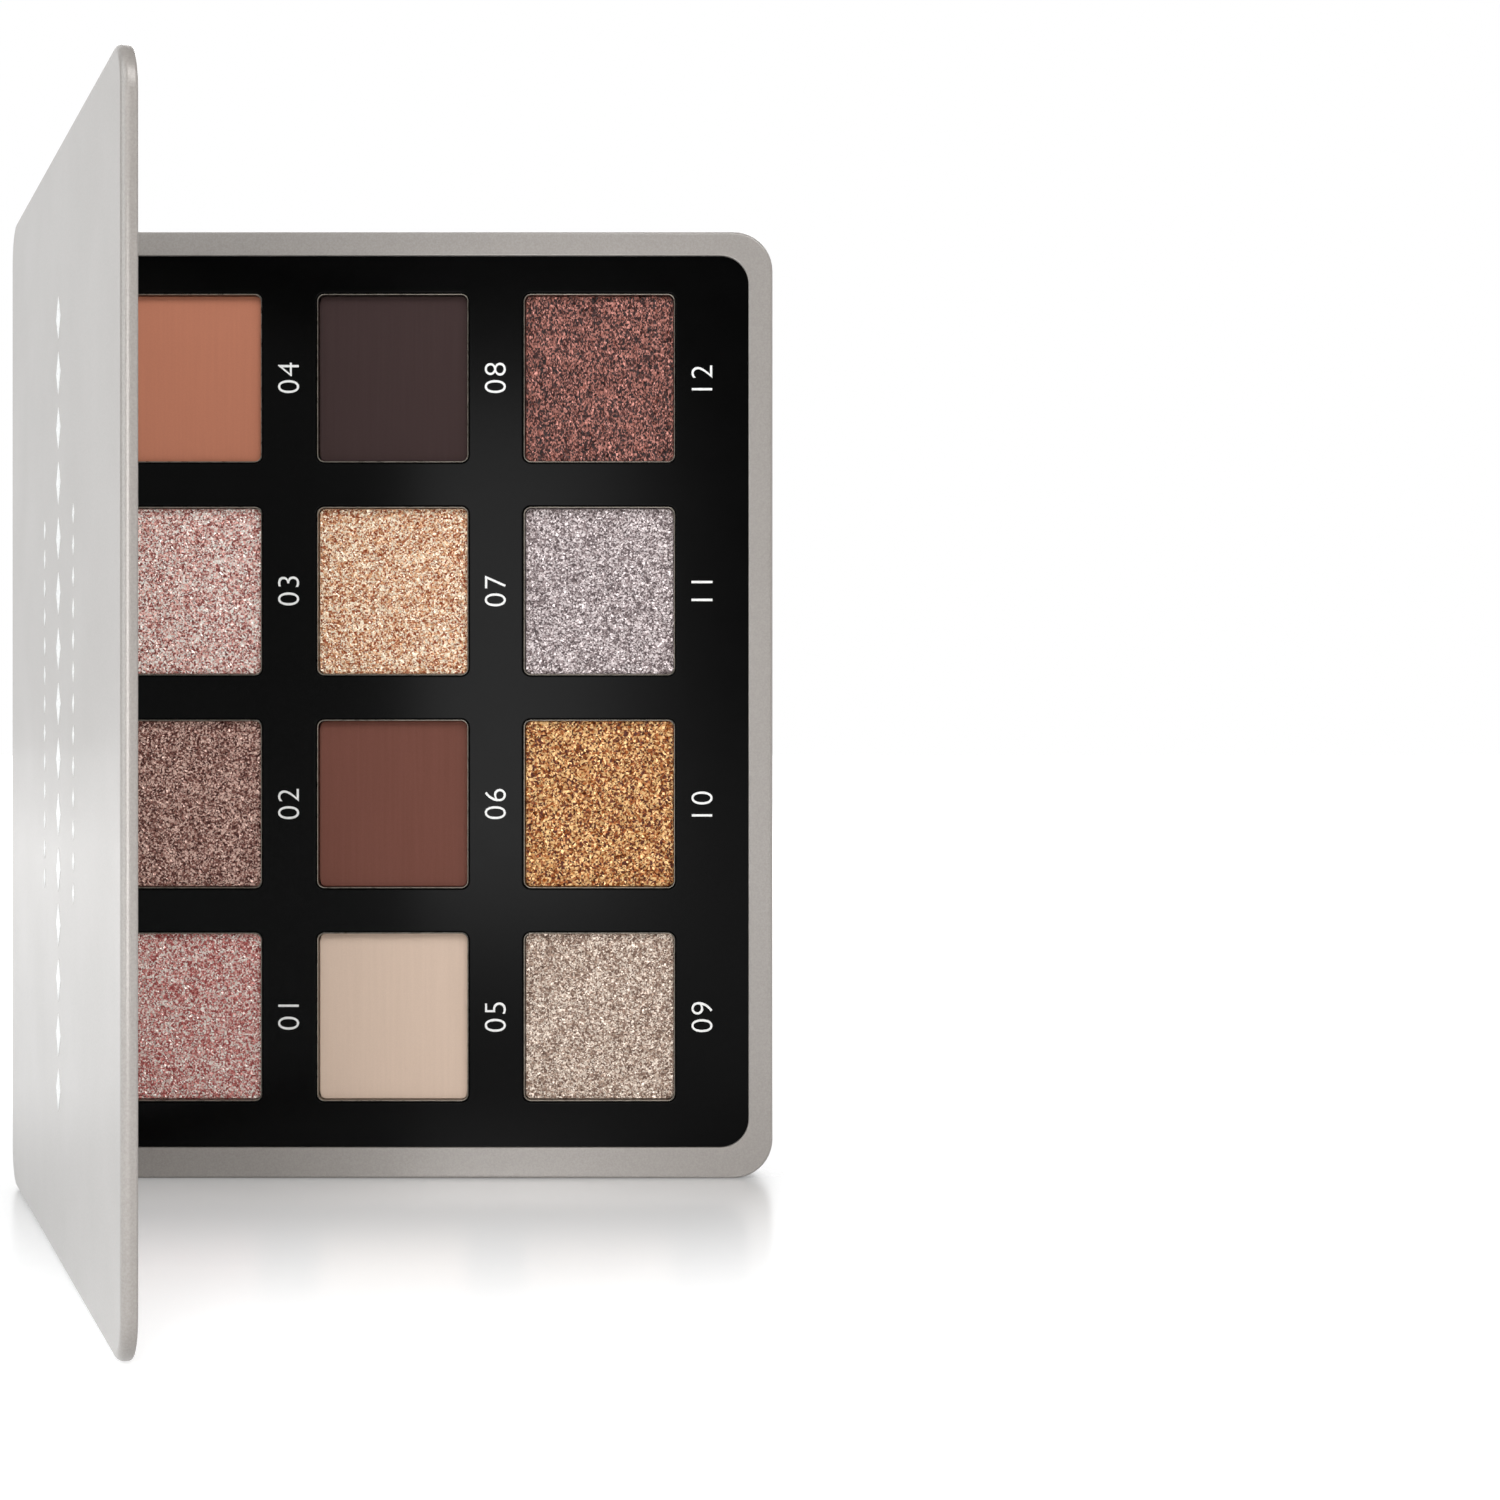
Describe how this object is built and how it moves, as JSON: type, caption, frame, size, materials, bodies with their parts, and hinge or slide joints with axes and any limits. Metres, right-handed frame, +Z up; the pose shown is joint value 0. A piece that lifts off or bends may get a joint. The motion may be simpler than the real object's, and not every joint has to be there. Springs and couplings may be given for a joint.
{
  "type": "eyeshadow palette",
  "caption": "Slim hinged makeup case with a mirror in its lid and a black tray of pressed eyeshadow powders in metal pans, held shut by magnets.",
  "frame": {"origin": "middle of the base's lower long-side edge face, which the open case stands on", "axes": "+X from the hinge to the opening edge, +Y out of the base's back, +Z up along the hinge"},
  "size_m": [0.101, 0.0992, 0.126],
  "materials": {
    "case": "satin champagne-grey metallic paint",
    "tray": "gloss black",
    "pan": "bright pressed",
    "adhesive": "foam tape",
    "magnet": "nickel plated",
    "steel": "plain",
    "mirror": "silvered glass",
    "powder_01": "pressed powder, pink shimmer",
    "powder_02": "pressed powder, mauve brown shimmer",
    "powder_03": "pressed powder, pale pink shimmer",
    "powder_04": "pressed powder, matte terracotta",
    "powder_05": "pressed powder, matte beige",
    "powder_06": "pressed powder, matte brown",
    "powder_07": "pressed powder, peach gold shimmer",
    "powder_08": "pressed powder, matte dark brown",
    "powder_09": "pressed powder, champagne shimmer",
    "powder_10": "pressed powder, gold glitter",
    "powder_11": "pressed powder, silver shimmer",
    "powder_12": "pressed powder, burgundy brown shimmer"
  },
  "bodies": {
    "base": {"base_frame": "case", "base_plate": "case", "pan_tray": "tray", "pan_01": "pan", "pan_02": "pan", "pan_03": "pan", "pan_04": "pan", "pan_05": "pan", "pan_06": "pan", "pan_07": "pan", "pan_08": "pan", "pan_09": "pan", "pan_10": "pan", "pan_11": "pan", "pan_12": "pan", "powder_01": "powder_01", "powder_02": "powder_02", "powder_03": "powder_03", "powder_04": "powder_04", "powder_05": "powder_05", "powder_06": "powder_06", "powder_07": "powder_07", "powder_08": "powder_08", "powder_09": "powder_09", "powder_10": "powder_10", "powder_11": "powder_11", "powder_12": "powder_12", "pan_pads": "adhesive", "closing_magnets": "magnet", "hinge_pins": "steel"},
    "lid": {"lid_shell": "case", "mirror": "mirror", "mirror_tape": "adhesive", "keeper_strips": "steel"}
  },
  "joints": [
    {"name": "lid_hinge", "type": "hinge", "parent": "base", "child": "lid", "pos_m": [-0.0506, -0.00367, 0.063], "axis": [0, 0, -1], "range_deg": [-66.8, 113.2]}
  ]
}
